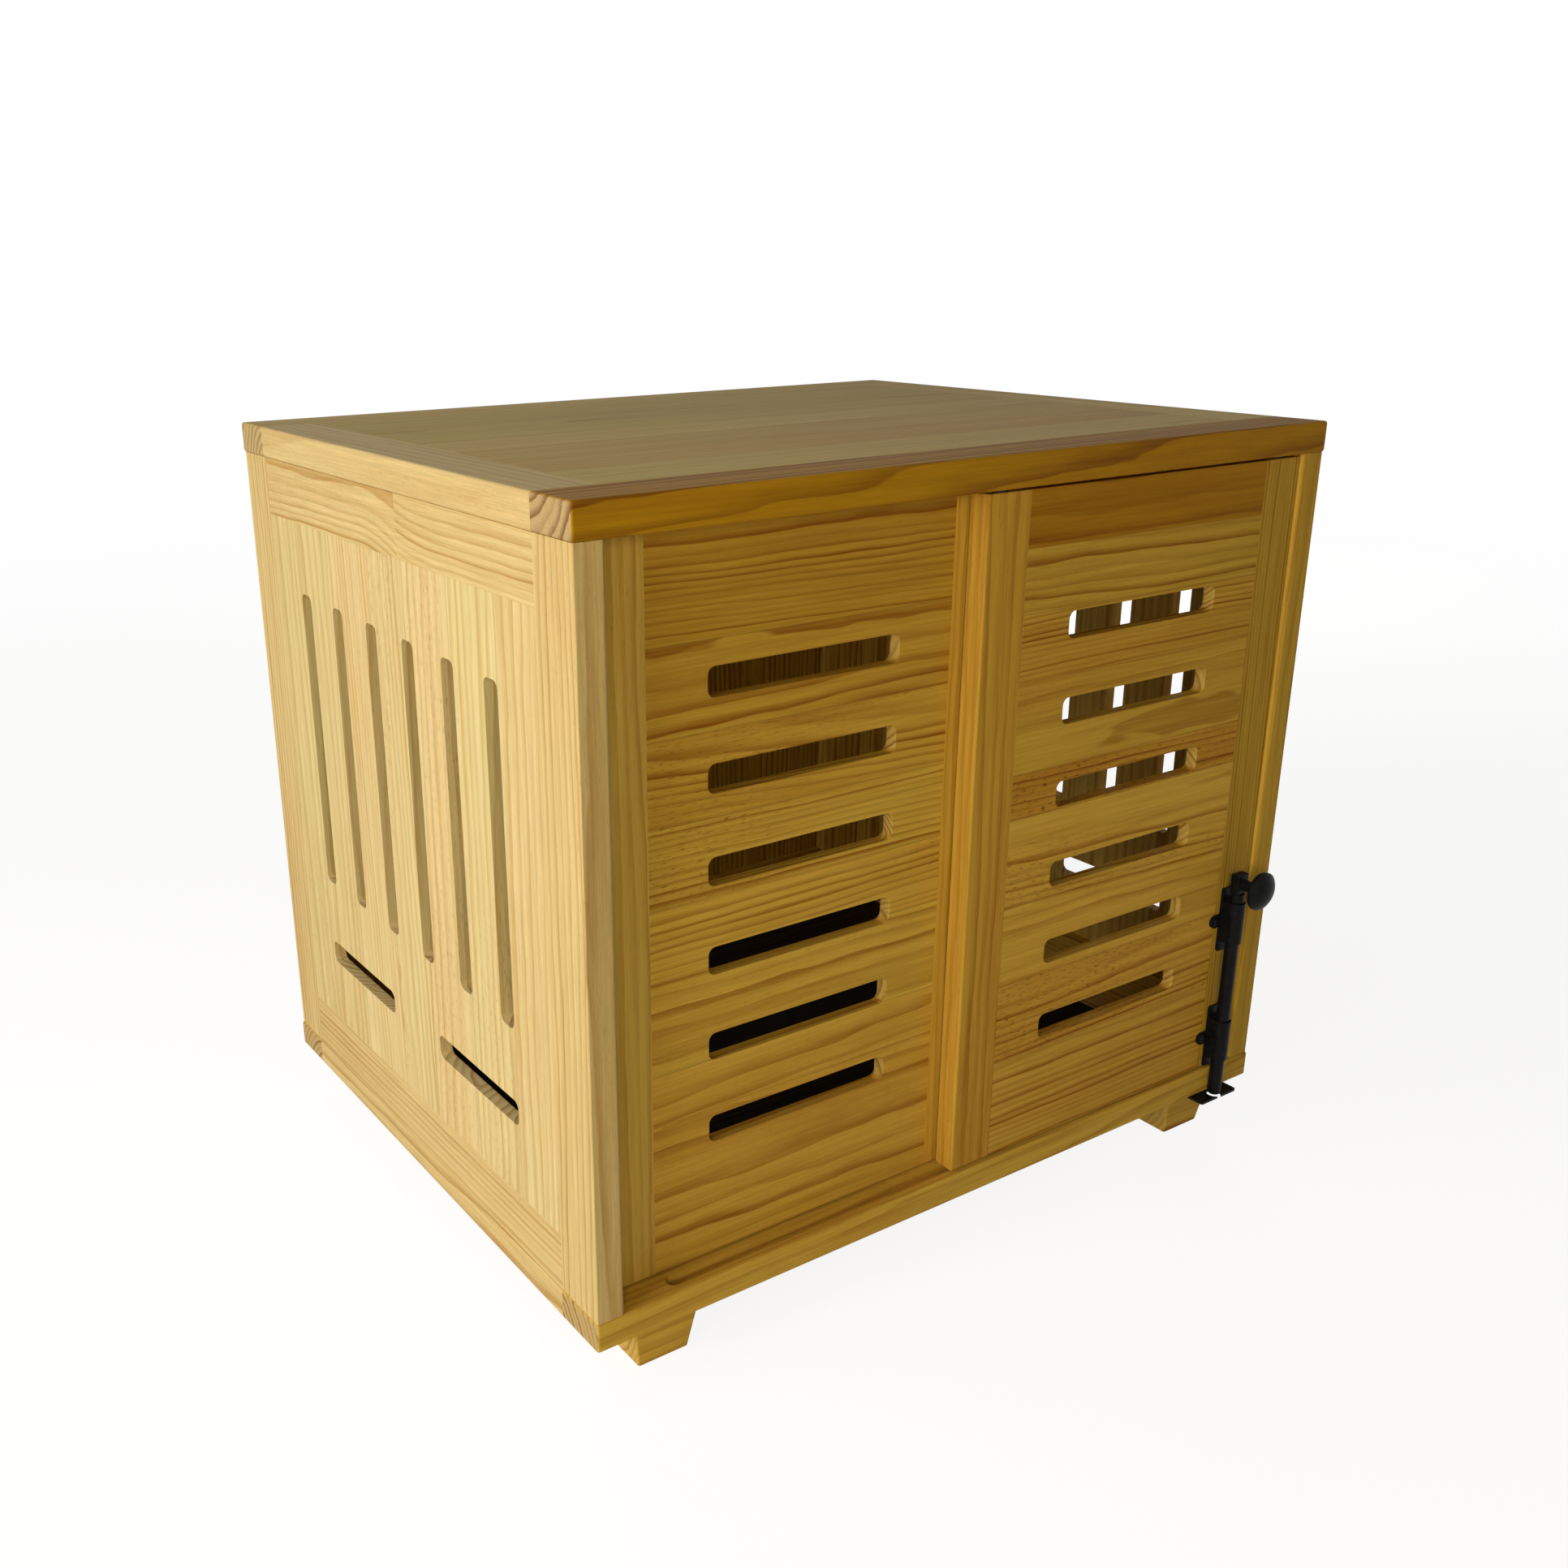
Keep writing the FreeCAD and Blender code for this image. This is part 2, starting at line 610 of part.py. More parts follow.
def barrel_bolt():
    """Two guides and their screws, the rod, and the dog with its knob."""
    screws, holes = [], []
    for name, offset in (("upper", upper_guide_base), ("lower", lower_guide_base)):
        guide, middle_z = bolt_guide(door_bottom + offset)
        for sign in (-1, 1):
            screw, hole = pan_screw(rod_x + sign * ear_screw_offset, middle_z)
            screws.append(screw)
            holes.append(hole)
            guide = guide.cut(hole)
        parts[f"bolt_{name}_guide"] = guide
    for node in ("front_door_right_stile", "front_door_panel"):
        parts[node] = parts[node].cut(holes)
    parts["bolt_guide_screws"] = group(screws)

    saddle_top = (door_bottom + upper_guide_base + (guide_height + saddle_height) / 2)
    rod_low = base_bottom - locked_reach + rest_lift
    dog_low = saddle_top + dog_seat_gap + rest_lift
    bar = rod((rod_x, rod_y, rod_low), (0, 0, 1), rod_radius, dog_low - dog_seat_gap - rod_low)
    bar = bar.makeChamfer(rod_tip_chamfer, edges_at_height(bar, rod_low))
    spigot = rod((rod_x, rod_y, dog_low - dog_seat_gap - overshoot), (0, 0, 1),
                 spigot_radius, dog_seat_gap + overshoot + spigot_depth - spigot_end_gap)
    parts["bolt_rod"] = bar.fuse(spigot).removeSplitter()

    dog_face = rod_y - dog_depth / 2
    dog = block(rod_x - dog_width / 2, dog_face, dog_low,
                rod_x + dog_width / 2, rod_y + dog_depth / 2, dog_low + dog_height)
    eased = edges_along(dog, (0, 0, 1)) + edges_along(dog, (1, 0, 0))
    dog = dog.makeFillet(dog_edge_radius, eased)
    spigot_bore = rod((rod_x, rod_y, dog_low - overshoot), (0, 0, 1),
                      spigot_radius + rod_play, spigot_depth + overshoot)
    knob_z = dog_low + dog_height / 2
    tenon_hole = rod((rod_x, dog_face, knob_z), (0, 1, 0), stem_tenon_radius + screw_play,
                     stem_tenon_length + tenon_end_gap)
    parts["bolt_dog"] = dog.cut([spigot_bore, tenon_hole])
    parts["bolt_knob"] = knob(dog_face, knob_z)


def knob(dog_face, knob_z):
    """A mushroom knob on a tapered stem, turned about an axis that points forward."""
    forward = V(0, -1, 0)
    seat = V(rod_x, dog_face, knob_z)
    tenon = rod(seat - forward * stem_tenon_length, forward, stem_tenon_radius,
                stem_tenon_length + overshoot)
    stem = Part.makeCone(stem_radius_at_dog, stem_radius_at_knob, stem_length, seat, forward)
    flare_foot = seat + forward * (stem_length - knob_flare)
    flare = Part.makeCone(stem_radius_at_knob, knob_radius - knob_under_edge, knob_flare,
                          flare_foot, forward)
    rim_start = seat + forward * stem_length
    rim = rod(rim_start, forward, knob_radius, knob_rim)
    dome_radius = (knob_radius ** 2 + knob_dome ** 2) / (2 * knob_dome)
    crown = rim_start + forward * (knob_rim + knob_dome)
    ball = Part.makeSphere(dome_radius, crown - forward * dome_radius)
    dome = rod(rim_start + forward * knob_rim, forward, knob_radius, knob_dome).common(ball)
    return tenon.fuse([stem, flare, rim, dome]).removeSplitter()


def strike():
    """The plate under the base that takes the rod's end, and its two screws."""
    plate = rounded_block(
        (rod_x - strike_width / 2, front - strike_reach, base_bottom - strike_thickness,
         rod_x + strike_width / 2, front + strike_seat, base_bottom),
        (0, 0, 1), strike_corner_radius)
    plate = plate.cut(rod((rod_x, rod_y, base_bottom - strike_thickness - overshoot),
                          (0, 0, 1), rod_radius + strike_hole_play,
                          strike_thickness + 2 * overshoot))
    screws, holes = [], []
    for sign in (-1, 1):
        screw, hole = countersunk_screw(
            (rod_x + sign * strike_screw_spacing / 2, front + strike_screw_inset,
             base_bottom - strike_thickness), (0, 0, 1), strike_screw_length,
            strike_screw_radius, strike_head_radius)
        screws.append(screw)
        holes.append(hole)
    parts["strike_plate"] = plate.cut(holes)
    parts["strike_screws"] = group(screws)
    return holes


# ---- assemble ----------------------------------------------------------------------------
frame_dowels = []

wood_above_track = top_thickness - top_track_depth
top_pieces, pins = flat_frame(top_bottom, height, height - wood_above_track / 2)
frame_dowels += pins
upper_tracks = door_tracks(guide_pin_radius, top_track_width,
                           top_bottom - overshoot, top_bottom + top_track_depth)
top_pieces["front"] = top_pieces["front"].cut(upper_tracks)

wood_below_track = base_thickness - track_depth
base_pieces, pins = flat_frame(base_bottom, base_top, base_bottom + wood_below_track / 2)
frame_dowels += pins
lower_tracks = door_tracks(wheel_radius, track_width, track_floor, base_top + overshoot)
base_pieces["front"] = base_pieces["front"].cut(lower_tracks)
base_pieces["front"] = base_pieces["front"].cut(strike())

side_pieces, pins = side_frame()
frame_dowels += pins + [mirrored(pin) for pin in pins]
back_pieces, pins = back_frame()
frame_dowels += pins

# upright dowels join the posts to the top, and screws from below join them to the base
panel_dowels, carcass_screws = [], []
for side in ("left", "right"):
    for end in ("front", "back"):
        post_x = (side_outer + side_inner) / 2
        post_y = post_front + corner_fixing_inset
        pin, hole = dowel((post_x, post_y, top_bottom), (0, 0, 1))
        panel_dowels.append(to_corner(pin, side, end))
        top_pieces[end] = top_pieces[end].cut(to_corner(hole, side, end))
        screw, screw_hole = countersunk_screw((post_x, post_y, base_bottom), (0, 0, 1),
                                              carcass_screw_length, carcass_screw_radius,
                                              carcass_head_radius)
        carcass_screws.append(to_corner(screw, side, end))
        base_pieces[end] = base_pieces[end].cut(to_corner(screw_hole, side, end))
        if side == "left":
            post = f"{end}_post"
            side_pieces[post] = side_pieces[post].cut(
                [to_corner(hole, side, end), to_corner(screw_hole, side, end)])

# level dowels join the back to the posts
back_middle_y = post_back - back_thickness / 2
for dowel_height in back_dowel_heights:
    pin, hole = dowel((side_inner, back_middle_y, base_top + dowel_height), (1, 0, 0))
    panel_dowels += [pin, mirrored(pin)]
    side_pieces["back_post"] = side_pieces["back_post"].cut(hole)
    back_pieces["left_stile"] = back_pieces["left_stile"].cut(hole)
back_pieces["right_stile"] = mirrored(back_pieces["left_stile"])

# feet and the screws that hold them, driven from below
foot_screws = []
for end in ("front", "back"):
    for side in ("left", "right"):
        foot, foot_x, foot_y = foot_blank()
        foot_holes = []
        for sign in (-1, 1):
            place = (foot_x + sign * foot_screw_spacing / 2, foot_y - foot_screw_offset,
                     foot_screw_recess)
            screw, hole = countersunk_screw(place, (0, 0, 1), foot_screw_length,
                                            carcass_screw_radius, carcass_head_radius)
            foot_screws.append(to_corner(screw, side, end))
            mouth = rod((place[0], place[1], -overshoot), (0, 0, 1),
                        carcass_head_radius + screw_play, foot_screw_recess + overshoot)
            foot_holes.append(hole.fuse(mouth))
        parts[f"{end}_{side}_foot"] = to_corner(foot.cut(foot_holes), side, end)
        base_pieces[end] = base_pieces[end].cut([to_corner(h, side, end) for h in foot_holes])

for piece, node in (("front", "top_front_rail"), ("back", "top_back_rail"),
                    ("left", "top_left_stile"), ("right", "top_right_stile"),
                    ("panel", "top_panel")):
    parts[node] = top_pieces[piece]
for piece, node in (("front", "base_front_rail"), ("back", "base_back_rail"),
                    ("left", "base_left_rail"), ("right", "base_right_rail"),
                    ("panel", "floor_panel")):
    parts[node] = base_pieces[piece]
for piece, shape in side_pieces.items():
    parts[f"left_side_{piece}"] = shape
    parts[f"right_side_{piece}"] = mirrored(shape)
for piece, shape in back_pieces.items():
    parts[f"back_{piece}"] = shape
parts["frame_dowels"] = group(frame_dowels)
parts["panel_dowels"] = group(panel_dowels)
parts["carcass_screws"] = group(carcass_screws)
parts["foot_screws"] = group(foot_screws)

door("front_door", front_door_left, front_door_face)
door("rear_door", rear_door_left, rear_door_face)
barrel_bolt()

os.makedirs("parts", exist_ok=True)
for name, shape in parts.items():
    shape.exportStep(f"parts/{name}.step")

print(f"{len(parts)} nodes; door travel {door_travel:.2f}; rod at {rod_x:.2f}, {rod_y:.2f}; "
      f"front at {front:.2f}; wheel radius {wheel_radius}")
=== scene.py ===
import json
import math

import bmesh
import bpy
import numpy as np
from mathutils import Euler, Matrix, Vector

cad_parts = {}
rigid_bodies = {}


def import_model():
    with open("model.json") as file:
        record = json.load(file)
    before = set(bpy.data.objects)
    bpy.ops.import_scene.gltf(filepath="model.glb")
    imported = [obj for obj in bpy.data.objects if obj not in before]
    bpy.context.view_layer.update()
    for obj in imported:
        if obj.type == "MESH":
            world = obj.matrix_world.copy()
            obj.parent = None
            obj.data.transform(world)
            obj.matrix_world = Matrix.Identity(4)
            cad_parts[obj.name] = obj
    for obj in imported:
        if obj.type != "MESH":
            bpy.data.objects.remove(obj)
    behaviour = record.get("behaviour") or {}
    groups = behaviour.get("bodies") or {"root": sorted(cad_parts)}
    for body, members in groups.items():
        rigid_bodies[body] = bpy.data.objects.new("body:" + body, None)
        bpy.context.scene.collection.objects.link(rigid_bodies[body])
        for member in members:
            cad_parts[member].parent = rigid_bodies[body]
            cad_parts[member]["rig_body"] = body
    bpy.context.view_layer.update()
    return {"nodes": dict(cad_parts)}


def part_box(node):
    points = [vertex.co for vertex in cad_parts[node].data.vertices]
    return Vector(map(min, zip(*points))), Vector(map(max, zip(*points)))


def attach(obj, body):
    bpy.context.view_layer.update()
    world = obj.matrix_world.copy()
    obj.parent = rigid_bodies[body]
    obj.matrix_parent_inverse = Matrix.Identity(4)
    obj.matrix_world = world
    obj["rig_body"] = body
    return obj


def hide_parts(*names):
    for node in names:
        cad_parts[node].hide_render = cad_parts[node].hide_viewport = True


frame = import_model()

# ==== The room =============================================================================
# A pale floor and a pale surround, with soft boxes to the left, in front, overhead and behind.
# The camera stands where the photograph was taken from, in front of the left corner.

photo_width = 1932.0                  # pixels
focal_length = 1927.6                 # pixels, from the corners of the box
middle_of_view = (832.5, 1011.9)      # where the lens points, pixels

camera_data = bpy.data.cameras.new("camera")
camera_data.sensor_width = 36.0
camera_data.lens = 36.0 * focal_length / photo_width
camera_data.shift_x = (photo_width / 2 - middle_of_view[0]) / photo_width
camera_data.shift_y = (middle_of_view[1] - photo_width / 2) / photo_width
camera = bpy.data.objects.new("camera", camera_data)
camera.location = (-0.6822, -0.8961, 0.6562)
camera.rotation_euler = Euler([math.radians(a) for a in (69.961, 0.588, -33.562)])
bpy.context.collection.objects.link(camera)
bpy.context.scene.camera = camera
bpy.context.scene.view_settings.view_transform = "Standard"


# Outputs that are picked by number from the nodes that have them.
normal, object_place = 1, 3                          # of Texture Coordinate
camera_ray, glossy_ray, transmission_ray = 0, 3, 6   # of Light Path


class Value:
    """A number that varies over a surface. Arithmetic on it adds Math nodes to its finish."""

    def __init__(self, finish, socket):
        self.finish = finish
        self.socket = socket

    def math(self, operation, *others):
        return self.finish.node("ShaderNodeMath", {"operation": operation},
                                {0: self, **{i + 1: o for i, o in enumerate(others)}})[0]

    def __add__(self, other):
        return self.math("ADD", other)

    def __sub__(self, other):
        return self.math("SUBTRACT", other)

    def __mul__(self, other):
        return self.math("MULTIPLY", other)

    def __truediv__(self, other):
        return self.math("DIVIDE", other)

    def __rsub__(self, other):
        return self.finish.node("ShaderNodeMath", {"operation": "SUBTRACT"},
                                {0: other, 1: self})[0]

    __radd__ = __add__

    def rise(self, low, high, course="SMOOTHSTEP"):
        """0 below low, 1 above high, and a rise between them that is soft or LINEAR."""
        return self.finish.node("ShaderNodeMapRange", {"interpolation_type": course},
                                {"Value": self, "From Min": low, "From Max": high})[0]


class Finish:
    """A material in the making: its shader, and one way to add a node."""

    def __init__(self, name):
        self.material = bpy.data.materials.new(name)
        self.material.use_nodes = True
        self.tree = self.material.node_tree
        self.shader = self.tree.nodes["Principled BSDF"]
        self.output = self.tree.nodes["Material Output"]

    def node(self, kind, settings=None, sockets=None):
        """Adds a node, sets it up, gives its sockets values or links, and returns its outputs."""
        made = self.tree.nodes.new(kind)
        for key, value in (settings or {}).items():
            setattr(made, key, value)
        for key, value in (sockets or {}).items():
            self.feed(made.inputs[key], value)
        return [Value(self, socket) for socket in made.outputs]

    def feed(self, socket, value):
        """Links a value to a socket, or sets a plain number or colour on it."""
        if isinstance(value, Value):
            self.tree.links.new(value.socket, socket)
        elif hasattr(value, "__len__") and socket.type == "RGBA" and len(value) == 3:
            socket.default_value = (*value, 1.0)
        else:
            socket.default_value = value

    def set(self, **values):
        """Feeds the main shader's sockets, named with _ for a space."""
        for name, value in values.items():
            self.feed(self.shader.inputs[name.replace("_", " ")], value)

    def mix(self, share, one, two, blend="MIX"):
        """A colour between one and two, by share.

        The Mix node has sockets for each kind of value. Colours go in at 6 and 7, out at 2.
        """
        return self.node("ShaderNodeMix", {"data_type": "RGBA", "blend_type": blend},
                         {0: share, 6: one, 7: two})[2]


floor_reach = 30.0            # metres from the table's middle, as are the next two
shaded_reach = 0.9            # up to here the floor shows the table's shadow
white_reach = 4.0             # and from here on it is plain white
glow_near, glow_far = 1.22, 1.0
glow_share = 0.72             # how much of the floor's look near the table is glow

floor_mesh = bpy.data.meshes.new("floor")
floor_mesh.from_pydata([(-floor_reach, -floor_reach, 0), (floor_reach, -floor_reach, 0),
                        (floor_reach, floor_reach, 0), (-floor_reach, floor_reach, 0)],
                       [], [(0, 1, 2, 3)])
floor_mesh.update()
floor = bpy.data.objects.new("floor", floor_mesh)
bpy.context.collection.objects.link(floor)
floor_finish = Finish("pale_floor")
floor_finish.set(Base_Color=(0.82, 0.81, 0.78), Roughness=0.9, Specular_IOR_Level=0.0)
rays = floor_finish.node("ShaderNodeLightPath")
floor_place = floor_finish.node("ShaderNodeTexCoord")[object_place]
distance = floor_finish.node("ShaderNodeVectorMath", {"operation": "LENGTH"},
                             {0: floor_place})[1]
far = distance.rise(shaded_reach, white_reach)
seen = (rays[camera_ray].math("MAXIMUM", rays[glossy_ray]).math("MAXIMUM", rays[transmission_ray])
        * (glow_share + far * (1 - glow_share)))
glow = floor_finish.node("ShaderNodeEmission", {}, {
    "Color": (1.0, 1.0, 1.0), "Strength": glow_near - far * (glow_near - glow_far)})
both = floor_finish.node("ShaderNodeMixShader", {}, {0: seen})
floor_mix = both[0].socket.node
floor_finish.tree.links.new(floor_finish.shader.outputs[0], floor_mix.inputs[1])
floor_finish.tree.links.new(glow[0].socket, floor_mix.inputs[2])
floor_finish.tree.links.new(both[0].socket, floor_finish.output.inputs[0])
floor.data.materials.append(floor_finish.material)

world = bpy.data.worlds.new("surround")
world.use_nodes = True
bpy.context.scene.world = world
sky = world.node_tree
background = sky.nodes["Background"]
background.inputs["Color"].default_value = (1.0, 1.0, 1.0, 1.0)
sky_rays = sky.nodes.new("ShaderNodeLightPath")
sky_level = sky.nodes.new("ShaderNodeMapRange")
sky_level.inputs["To Min"].default_value = 0.03      # light on the object from all round
sky_level.inputs["To Max"].default_value = 1.0       # white where the camera sees it
sky_seen = sky_rays.outputs["Is Camera Ray"]
for kind in ("Is Glossy Ray", "Is Transmission Ray"):
    either = sky.nodes.new("ShaderNodeMath")
    either.operation = "MAXIMUM"
    sky.links.new(sky_seen, either.inputs[0])
    sky.links.new(sky_rays.outputs[kind], either.inputs[1])
    sky_seen = either.outputs[0]
sky.links.new(sky_seen, sky_level.inputs["Value"])
sky.links.new(sky_level.outputs[0], background.inputs["Strength"])


def soft_box(name, place, aim, size, power, colour=(1.0, 1.0, 1.0)):
    """A square lamp that faces a point."""
    data = bpy.data.lights.new(name, "AREA")
    data.shape = "SQUARE"
    data.size = size
    data.energy = power
    data.color = colour
    lamp = bpy.data.objects.new(name, data)
    lamp.location = place
    lamp.rotation_euler = (Vector(aim) - Vector(place)).to_track_quat("-Z", "Y").to_euler()
    lamp.visible_camera = False
    bpy.context.collection.objects.link(lamp)
    return lamp


middle = (0.0, 0.0, 0.27)
soft_box("window_left", (-2.6, -0.45, 0.80), middle, 1.6, 39.0)
soft_box("room_front", (-1.25, -1.9, 0.95), middle, 0.8, 12.6, (1.0, 0.90, 0.54))
soft_box("ceiling", (-1.5, 0.3, 2.2), middle, 1.6, 11.5)
room_back = soft_box("room_back", (1.9, 2.0, 0.40), middle, 1.2, 26.0, (1.0, 0.97, 0.90))
room_back.visible_glossy = False       # it would only mirror in the table top

# ==== Top ==================================================================================
# A flush table top in solid pine: two long rails whose ends show, two short rails between
# them, and a glued-up panel. Everything is lacquered satin, and the edges are eased.

axis_of = {"x": 0, "y": 1, "z": 2}
side_pine = ((0.86, 0.69, 0.345), (0.56, 0.30, 0.060))       # early wood, late wood
rail_pine = ((0.80, 0.60, 0.262), (0.47, 0.235, 0.045))
warm_pine = ((0.78, 0.53, 0.125), (0.42, 0.175, 0.016))
gold_pine = ((0.81, 0.525, 0.085), (0.36, 0.130, 0.005))
top_pine = ((0.80, 0.585, 0.19), (0.46, 0.250, 0.040))
amber_pine = ((0.53, 0.262, 0.006), (0.24, 0.080, 0.001))
end_pine = ((0.58, 0.41, 0.190), (0.25, 0.130, 0.050))


def board(low_edge, heart, ring=6.0, lean=0.0, warm=0.0, dark=0.0, dashes=0.15, along=0.0):
    """One board of a glued-up panel.

    low_edge is where it starts across the grain, in metres. heart is where the log's heart
    lies from the board's middle (across, through), and ring is the ring width, all in
    millimetres. lean is how far the grain runs off per metre, warm goes from olive at -1 to
    orange at 1, dark and dashes from 0 to 1, and along slides the figure along the board.
    """
    return (low_edge, heart[0], heart[1], ring, lean, warm, dark, dashes, along)


def chance_boards(low, high, count, seed, spread=1.0, dark=0.0):
    """Boards of nearly even width between two places, with hearts and colours by chance.

    spread is how much their colours differ, and dark is added to each one's darkness.
    """
    chance = np.random.default_rng(seed)
    width = (high - low) / count
    return [board(low + width * (i + (0.24 * chance.random() - 0.12 if i else 0.0)),
                  (chance.choice((-1, 1)) * chance.uniform(24, 60), chance.uniform(20, 44)),
                  ring=chance.uniform(4.0, 7.5), lean=chance.uniform(-30, 30),
                  warm=spread * chance.uniform(-0.7, 0.7),
                  dark=dark + spread * chance.uniform(0, 0.35),
                  dashes=chance.uniform(0, 0.5), along=chance.uniform(-900, 900))
            for i in range(count)]


def pine(name, tones, along, through, centre, boards, wave=3.0, contrast=1.0, shift=0.0,
         gloss=0.08, butt=None, raw_ends=0.3):
    """Solid lacquered pine, cut from a log.

    The growth rings are tubes round the log's heart, a line that runs along the board. The
    ring number is the distance from that line over the ring width, and each ring goes from
    pale early wood to dark late wood. The heart line wanders slowly, as a trunk grows. A
    panel glued up from several boards takes another log at each seam. butt is where a piece
    is lengthened with another along the grain, and how far the grain dives there, both in
    millimetres. raw_ends is how far the end grain goes from the board's own colours.
    """
    finish = Finish(name)
    place = finish.node("ShaderNodeTexCoord")
    parts = finish.node("ShaderNodeSeparateXYZ", {}, {0: place[object_place]})
    across = ({"x", "y", "z"} - {along, through}).pop()
    length = (parts[axis_of[along]] - centre[axis_of[along]]) * 1000
    raw_width = parts[axis_of[across]]
    width = raw_width * 1000
    depth = (parts[axis_of[through]] - centre[axis_of[through]]) * 1000

    # each board's own values, which change in a step at each seam
    seams = [later[0] for later in boards[1:]]
    passed = [raw_width.math("GREATER_THAN", seam) for seam in seams]

    def stepped(values):
        total = values[0]
        for past, before, after in zip(passed, values, values[1:]):
            total = past.math("MULTIPLY_ADD", after - before, total)
        return total

    if seams:        # the last board is taken to be as wide as the one before it
        edges = [boards[0][0]] + seams + [2 * seams[-1] - boards[-2][0]]
        middles = [1000 * (low + high) / 2 for low, high in zip(edges, edges[1:])]
    else:
        middles = [1000 * centre[axis_of[across]]]
    heart_across, heart_through, ring, lean, warm, dark, dashes, slide = (
        stepped(values) for values in list(zip(*boards))[1:])
    width = width - stepped(middles)
    grain_place = finish.node("ShaderNodeCombineXYZ", {},
                              {0: length + slide, 1: width, 2: depth + slide})[0]

    def ripple(stretch, scale, detail=1.0, move=0.0):
        """Noise in -0.5..0.5, drawn out along the grain by stretch.

        scale is per millimetre across the grain. shift gives each piece, and move each kind
        of figure, another part of the noise.
        """
        mapped = finish.node("ShaderNodeMapping", {}, {
            "Vector": grain_place, "Location": (shift * 17.0 + move, move * 3.0, shift),
            "Scale": (scale / stretch, scale, scale)})[0]
        return finish.node("ShaderNodeTexNoise", {}, {
            "Vector": mapped, "Scale": 1.0, "Detail": detail, "Roughness": 0.5})[0] - 0.5

    # where the log's heart lies from each point, out across the board and deep into it
    out = (width - heart_across + length * (lean * 0.001)
           + ripple(stretch=9.0, scale=0.016, detail=2.0) * (5 * wave))
    if butt:
        butt_place, dive = butt
        dive_reach, dive_before, offset = 60.0, 7.0, 9.0      # millimetres
        beyond = parts[axis_of[along]] * 1000 - butt_place
        near = 1 - beyond.math("ABSOLUTE").rise(0.0, dive_reach, "LINEAR")
        past = beyond.math("GREATER_THAN", 0.0)
        out = out + near * near * (past * dive - dive_before) + past * offset
    deep = (depth - heart_through
            + ripple(stretch=7.0, scale=0.010, detail=1.0, move=5.1) * (6 * wave))

    # the ring number, its whole part as the year, and the late wood at the end of each ring
    radius = (out * out + deep * deep).math("SQRT")
    count = (radius / ring + ripple(stretch=6.0, scale=0.05, detail=2.0, move=9.7) * 0.9
             + ripple(stretch=2.6, scale=0.07, detail=1.0, move=3.3) * 0.22)
    phase = count.math("FRACT")
    year = finish.node("ShaderNodeTexWhiteNoise", {"noise_dimensions": "1D"},
                       {"W": count.math("FLOOR") + shift})[0]
    late_start, late_end, palest_year = 0.28, 0.93, 0.30
    late = (phase.rise(late_start, late_end) * (1 - phase.rise(late_end, 1.0))
            * (palest_year + year * (1 - palest_year)))
    line = late * late                       # the narrow dark side of the late wood

    fibre = ripple(stretch=45.0, scale=1.4, detail=2.0, move=4.0)
    thread = ripple(stretch=38.0, scale=0.50, detail=2.0, move=15.0)
    streak = ripple(stretch=30.0, scale=0.14, detail=2.0, move=7.0)
    cloud = ripple(stretch=5.0, scale=0.012, detail=1.0, move=12.0)
    pore = (ripple(stretch=8.0, scale=1.3, detail=0.0, move=1.0).rise(0.18, 0.24)
            * cloud.rise(-0.12, 0.10))

    # from early to late wood, then tinted orange or olive, darkened, and marked by the fibres
    orange, olive = (1.0, 0.78, 0.66), (0.80, 0.94, 0.60)
    tone_and_shade_dark, resin = (0.62, 0.52, 0.18), (0.16, 0.055, 0.01)
    full_tint = 1.6
    tone = (0.16 + (late * 0.42 + line * 0.5) * contrast + cloud * 0.3
            + (thread * 0.75 + streak * 0.6) * (0.4 + 0.6 * contrast))
    colour = finish.mix(tone.rise(0.0, 1.0, "LINEAR"), tones[0], tones[1])
    colour = finish.mix((cloud + warm).rise(0.0, full_tint, "LINEAR"), colour, orange, "MULTIPLY")
    if isinstance(warm, Value) or warm < 0:
        colour = finish.mix((0 - warm - cloud).rise(0.0, full_tint, "LINEAR"), colour, olive,
                            "MULTIPLY")
    # darker boards: partly their own darker tone, and on some pieces painted shade as well
    if isinstance(dark, Value) or dark > 0:
        colour = finish.mix(dark, colour, tone_and_shade_dark, "MULTIPLY")
    shade = 1.0 + fibre * 0.44 + thread * 0.20
    grey = finish.node("ShaderNodeCombineColor", {}, {0: shade, 1: shade, 2: shade})[0]
    colour = finish.mix(1.0, colour, grey, "MULTIPLY")
    colour = finish.mix(pore * dashes, colour, resin)

    # end grain drinks more lacquer, and its rings show as dark stripes on a dull ground
    facing = finish.node("ShaderNodeSeparateXYZ", {}, {0: place[normal]})[axis_of[along]]
    end = facing.math("ABSOLUTE").rise(0.55, 0.9)
    ground, stripe = ([raw_ends * raw + (1 - raw_ends) * own for raw, own in zip(*pair)]
                      for pair in zip(end_pine, tones))
    end_tone = (0.08 + late + fibre).rise(0.0, 1.0, "LINEAR")
    colour = finish.mix(end, colour, finish.mix(end_tone, ground, stripe))

    # the thin glue line between two boards
    glue_core, glue_edge = 0.00008, 0.0005           # metres from the seam
    glue = None
    for seam in seams:
        near = 1 - (raw_width - seam).math("ABSOLUTE").rise(glue_core, glue_edge)
        glue = near if glue is None else glue.math("MAXIMUM", near)
    if seams:
        colour = finish.mix(glue * 0.4, colour, (0.20, 0.10, 0.02))

    finish.set(Base_Color=colour)
    finish.set(Roughness=0.50 - late * 0.08 + end * 0.2)
    finish.set(Specular_IOR_Level=0.0, Coat_Weight=gloss, Coat_Roughness=0.22)
    bump = finish.node("ShaderNodeBump", {}, {"Strength": 0.16, "Distance": 0.0004,
                                              "Height": fibre})
    finish.set(Normal=bump[0])
    return finish.material


planed_ease = 0.0004          # metres, on the arrises of a planed board
routed_ease = 0.0009          # on the rims of a routed slot
foot_ease = 0.001
metal_ease = 0.0003


